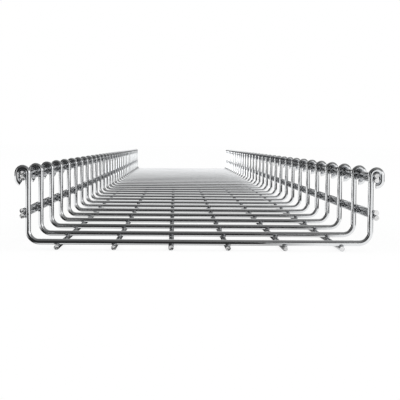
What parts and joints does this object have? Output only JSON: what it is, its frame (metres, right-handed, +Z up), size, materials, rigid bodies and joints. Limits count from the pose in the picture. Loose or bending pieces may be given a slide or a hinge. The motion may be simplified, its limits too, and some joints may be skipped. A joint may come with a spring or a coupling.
{
  "type": "wire mesh cable basket tray",
  "caption": "Long open channel of welded round steel wire mesh for carrying cables, with low side walls and cross wires hooked over double rim wires.",
  "frame": {"origin": "on the ground under the middle of the tray's floor", "axes": "+Y along the tray, away from the viewer of the picture; +X to the viewer's right; +Z up"},
  "size_m": [0.324, 3.008, 0.074],
  "materials": {
    "cross_wire": "bright",
    "long_wire": "bright"
  },
  "bodies": {
    "root": {"cross_wire_01": "cross_wire", "cross_wire_02": "cross_wire", "cross_wire_03": "cross_wire", "cross_wire_04": "cross_wire", "cross_wire_05": "cross_wire", "cross_wire_06": "cross_wire", "cross_wire_07": "cross_wire", "cross_wire_08": "cross_wire", "cross_wire_09": "cross_wire", "cross_wire_10": "cross_wire", "cross_wire_11": "cross_wire", "cross_wire_12": "cross_wire", "cross_wire_13": "cross_wire", "cross_wire_14": "cross_wire", "cross_wire_15": "cross_wire", "cross_wire_16": "cross_wire", "cross_wire_17": "cross_wire", "cross_wire_18": "cross_wire", "cross_wire_19": "cross_wire", "cross_wire_20": "cross_wire", "cross_wire_21": "cross_wire", "cross_wire_22": "cross_wire", "cross_wire_23": "cross_wire", "cross_wire_24": "cross_wire", "cross_wire_25": "cross_wire", "cross_wire_26": "cross_wire", "cross_wire_27": "cross_wire", "cross_wire_28": "cross_wire", "cross_wire_29": "cross_wire", "cross_wire_30": "cross_wire", "cross_wire_31": "cross_wire", "floor_wire_1": "long_wire", "floor_wire_2": "long_wire", "floor_wire_3": "long_wire", "floor_wire_4": "long_wire", "floor_wire_5": "long_wire", "floor_wire_6": "long_wire", "side_wire_left_lower": "long_wire", "side_wire_left_upper": "long_wire", "rim_wire_left_lower": "long_wire", "rim_wire_left_upper": "long_wire", "side_wire_right_lower": "long_wire", "side_wire_right_upper": "long_wire", "rim_wire_right_lower": "long_wire", "rim_wire_right_upper": "long_wire"}
  },
  "joints": []
}
